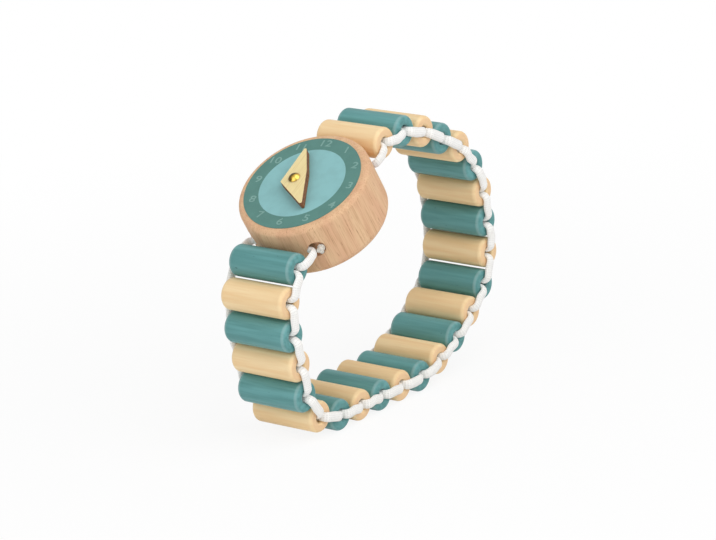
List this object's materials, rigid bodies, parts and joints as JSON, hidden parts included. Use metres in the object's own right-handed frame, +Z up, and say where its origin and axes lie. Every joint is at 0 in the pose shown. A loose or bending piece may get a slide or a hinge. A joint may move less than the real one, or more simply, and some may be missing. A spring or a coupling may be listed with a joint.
{
  "type": "toy watch",
  "caption": "Wooden toy wristwatch: a round beech case with a printed dial and one turning hand, on a closed strap of dowel beads laced with elastic.",
  "frame": {"origin": "under the middle of the standing watch, on the ground that the strap stands on", "axes": "+X along the loop away from the dial's lean, +Y along the beads towards 9 o'clock, +Z up"},
  "size_m": [0.0686, 0.0262, 0.0555],
  "materials": {
    "beech": "bare sanded beech",
    "dial_dark": "matt print",
    "dial_light": "matt print",
    "plywood": "bare plywood with burnt edges",
    "brass": "polished",
    "bead_natural": "bare sanded dowel",
    "bead_teal": "satin stain",
    "elastic": "woven elastic cord"
  },
  "bodies": {
    "strap_16": {"bead_16": "bead_teal", "link_16": "elastic", "link_17": "elastic"},
    "strap_15": {"bead_15": "bead_natural", "link_15": "elastic"},
    "strap_14": {"bead_14": "bead_teal", "link_14": "elastic"},
    "strap_13": {"bead_13": "bead_natural", "link_13": "elastic"},
    "strap_12": {"bead_12": "bead_teal", "link_12": "elastic"},
    "strap_11": {"bead_11": "bead_natural", "link_11": "elastic"},
    "strap_10": {"bead_10": "bead_teal", "link_10": "elastic"},
    "strap_09": {"bead_09": "bead_natural", "link_09": "elastic"},
    "strap_08": {"bead_08": "bead_teal", "link_08": "elastic"},
    "strap_07": {"bead_07": "bead_natural", "link_07": "elastic"},
    "strap_06": {"bead_06": "bead_teal", "link_06": "elastic"},
    "strap_05": {"bead_05": "bead_natural", "link_05": "elastic"},
    "strap_04": {"bead_04": "bead_teal", "link_04": "elastic"},
    "strap_03": {"bead_03": "bead_natural", "link_03": "elastic"},
    "strap_02": {"bead_02": "bead_teal", "link_02": "elastic"},
    "strap_01": {"bead_01": "bead_natural", "link_01": "elastic"},
    "strap_17": {"bead_17": "bead_natural", "link_18": "elastic"},
    "strap_18": {"bead_18": "bead_teal", "link_19": "elastic"},
    "strap_19": {"bead_19": "bead_natural", "link_20": "elastic"},
    "strap_20": {"bead_20": "bead_teal", "link_21": "elastic"},
    "strap_21": {"bead_21": "bead_natural", "link_22": "elastic"},
    "strap_22": {"bead_22": "bead_teal", "link_23": "elastic"},
    "strap_23": {"bead_23": "bead_natural", "link_24": "elastic"},
    "strap_24": {"bead_24": "bead_teal", "link_25": "elastic", "knot": "elastic"},
    "watch_case": {"case": "beech", "dial_ring": "dial_dark", "dial_centre": "dial_light", "nail": "brass"},
    "watch_hand": {"hand": "plywood"}
  },
  "joints": [
    {"name": "bead_15_bend", "type": "hinge", "parent": "strap_16", "child": "strap_15", "pos_m": [0.00109, 0, 0.00305], "axis": [0, -1, 0], "range_deg": [-2.94, 6.14]},
    {"name": "bead_14_bend", "type": "hinge", "parent": "strap_15", "child": "strap_14", "pos_m": [0.00749, 0, 0.00305], "axis": [0, -1, 0], "range_deg": [-2.27, 4.73]},
    {"name": "bead_13_bend", "type": "hinge", "parent": "strap_14", "child": "strap_13", "pos_m": [0.01366, 0, 0.00476], "axis": [0, -1, 0], "range_deg": [-1.79, 3.74]},
    {"name": "bead_12_bend", "type": "hinge", "parent": "strap_13", "child": "strap_12", "pos_m": [0.0194, 0, 0.00759], "axis": [0, -1, 0], "range_deg": [-1.42, 2.96]},
    {"name": "bead_11_bend", "type": "hinge", "parent": "strap_12", "child": "strap_11", "pos_m": [0.02458, 0, 0.01134], "axis": [0, -1, 0], "range_deg": [-1.15, 2.39]},
    {"name": "bead_10_bend", "type": "hinge", "parent": "strap_11", "child": "strap_10", "pos_m": [0.02929, 0, 0.01568], "axis": [0, -1, 0], "range_deg": [-4.19, 2.01]},
    {"name": "bead_09_bend", "type": "hinge", "parent": "strap_10", "child": "strap_09", "pos_m": [0.03123, 0, 0.02178], "axis": [0, -1, 0], "range_deg": [-8.54, 4.09]},
    {"name": "bead_08_bend", "type": "hinge", "parent": "strap_09", "child": "strap_08", "pos_m": [0.03108, 0, 0.02818], "axis": [0, -1, 0], "range_deg": [-9.4, 4.5]},
    {"name": "bead_07_bend", "type": "hinge", "parent": "strap_08", "child": "strap_07", "pos_m": [0.03028, 0, 0.03453], "axis": [0, -1, 0], "range_deg": [-9.69, 4.64]},
    {"name": "bead_06_bend", "type": "hinge", "parent": "strap_07", "child": "strap_06", "pos_m": [0.02774, 0, 0.0404], "axis": [0, -1, 0], "range_deg": [-5.4, 2.59]},
    {"name": "bead_05_bend", "type": "hinge", "parent": "strap_06", "child": "strap_05", "pos_m": [0.02348, 0, 0.04517], "axis": [0, -1, 0], "range_deg": [-1.15, 2.39]},
    {"name": "bead_04_bend", "type": "hinge", "parent": "strap_05", "child": "strap_04", "pos_m": [0.01781, 0, 0.04814], "axis": [0, -1, 0], "range_deg": [-2.43, 5.07]},
    {"name": "bead_03_bend", "type": "hinge", "parent": "strap_04", "child": "strap_03", "pos_m": [0.01204, 0, 0.05092], "axis": [0, -1, 0], "range_deg": [-2.82, 5.88]},
    {"name": "bead_02_bend", "type": "hinge", "parent": "strap_03", "child": "strap_02", "pos_m": [0.00582, 0, 0.05243], "axis": [0, -1, 0], "range_deg": [-3.89, 8.11]},
    {"name": "bead_01_bend", "type": "hinge", "parent": "strap_02", "child": "strap_01", "pos_m": [-0.00052, 0, 0.0516], "axis": [0, -1, 0], "range_deg": [-2.83, 5.91]},
    {"name": "bead_17_bend", "type": "hinge", "parent": "strap_16", "child": "strap_17", "pos_m": [-0.01171, 0, 0.00305], "axis": [0, 1, 0], "range_deg": [-3.55, 7.42]},
    {"name": "bead_18_bend", "type": "hinge", "parent": "strap_17", "child": "strap_18", "pos_m": [-0.01811, 0, 0.00305], "axis": [0, 1, 0], "range_deg": [-3.3, 6.89]},
    {"name": "bead_19_bend", "type": "hinge", "parent": "strap_18", "child": "strap_19", "pos_m": [-0.02431, 0, 0.00463], "axis": [0, 1, 0], "range_deg": [-2.85, 5.96]},
    {"name": "bead_20_bend", "type": "hinge", "parent": "strap_19", "child": "strap_20", "pos_m": [-0.02816, 0, 0.00974], "axis": [0, 1, 0], "range_deg": [-6, 2.88]},
    {"name": "bead_21_bend", "type": "hinge", "parent": "strap_20", "child": "strap_21", "pos_m": [-0.02938, 0, 0.01603], "axis": [0, 1, 0], "range_deg": [-8.88, 4.25]},
    {"name": "bead_22_bend", "type": "hinge", "parent": "strap_21", "child": "strap_22", "pos_m": [-0.03094, 0, 0.02223], "axis": [0, 1, 0], "range_deg": [-11.21, 5.36]},
    {"name": "bead_23_bend", "type": "hinge", "parent": "strap_22", "child": "strap_23", "pos_m": [-0.03123, 0, 0.02863], "axis": [0, 1, 0], "range_deg": [-11.5, 5.5]},
    {"name": "bead_24_bend", "type": "hinge", "parent": "strap_23", "child": "strap_24", "pos_m": [-0.02835, 0, 0.03434], "axis": [0, 1, 0], "range_deg": [-2.39, 1.15]},
    {"name": "case_bend", "type": "hinge", "parent": "strap_24", "child": "watch_case", "pos_m": [-0.02333, 0, 0.03704], "axis": [0, 1, 0], "range_deg": [-3.77, 7.88]},
    {"name": "hand_turn", "type": "hinge", "parent": "watch_case", "child": "watch_hand", "pos_m": [-0.01718, 0.001, 0.0468], "axis": [-0.515, 0, 0.8572], "continuous": true}
  ],
  "couplings": [
    {"joint": "bead_15_bend", "follows": "bead_23_bend", "ratio": -0.53306},
    {"joint": "bead_14_bend", "follows": "bead_23_bend", "ratio": -0.4102},
    {"joint": "bead_13_bend", "follows": "bead_23_bend", "ratio": -0.32463},
    {"joint": "bead_12_bend", "follows": "bead_23_bend", "ratio": -0.25614},
    {"joint": "bead_11_bend", "follows": "bead_23_bend", "ratio": -0.20675},
    {"joint": "bead_10_bend", "follows": "bead_23_bend", "ratio": 0.36343},
    {"joint": "bead_09_bend", "follows": "bead_23_bend", "ratio": 0.74172},
    {"joint": "bead_08_bend", "follows": "bead_23_bend", "ratio": 0.81677},
    {"joint": "bead_07_bend", "follows": "bead_23_bend", "ratio": 0.84136},
    {"joint": "bead_06_bend", "follows": "bead_23_bend", "ratio": 0.46862},
    {"joint": "bead_05_bend", "follows": "bead_23_bend", "ratio": -0.20675},
    {"joint": "bead_04_bend", "follows": "bead_23_bend", "ratio": -0.43979},
    {"joint": "bead_03_bend", "follows": "bead_23_bend", "ratio": -0.51038},
    {"joint": "bead_02_bend", "follows": "bead_23_bend", "ratio": -0.70471},
    {"joint": "bead_01_bend", "follows": "bead_23_bend", "ratio": -0.51277},
    {"joint": "bead_17_bend", "follows": "bead_23_bend", "ratio": -0.64413},
    {"joint": "bead_18_bend", "follows": "bead_23_bend", "ratio": -0.59862},
    {"joint": "bead_19_bend", "follows": "bead_23_bend", "ratio": -0.51721},
    {"joint": "bead_20_bend", "follows": "bead_23_bend", "ratio": 0.52131},
    {"joint": "bead_21_bend", "follows": "bead_23_bend", "ratio": 0.77135},
    {"joint": "bead_22_bend", "follows": "bead_23_bend", "ratio": 0.97354},
    {"joint": "bead_24_bend", "follows": "bead_23_bend", "ratio": 0.20675},
    {"joint": "case_bend", "follows": "bead_23_bend", "ratio": -0.68438}
  ]
}
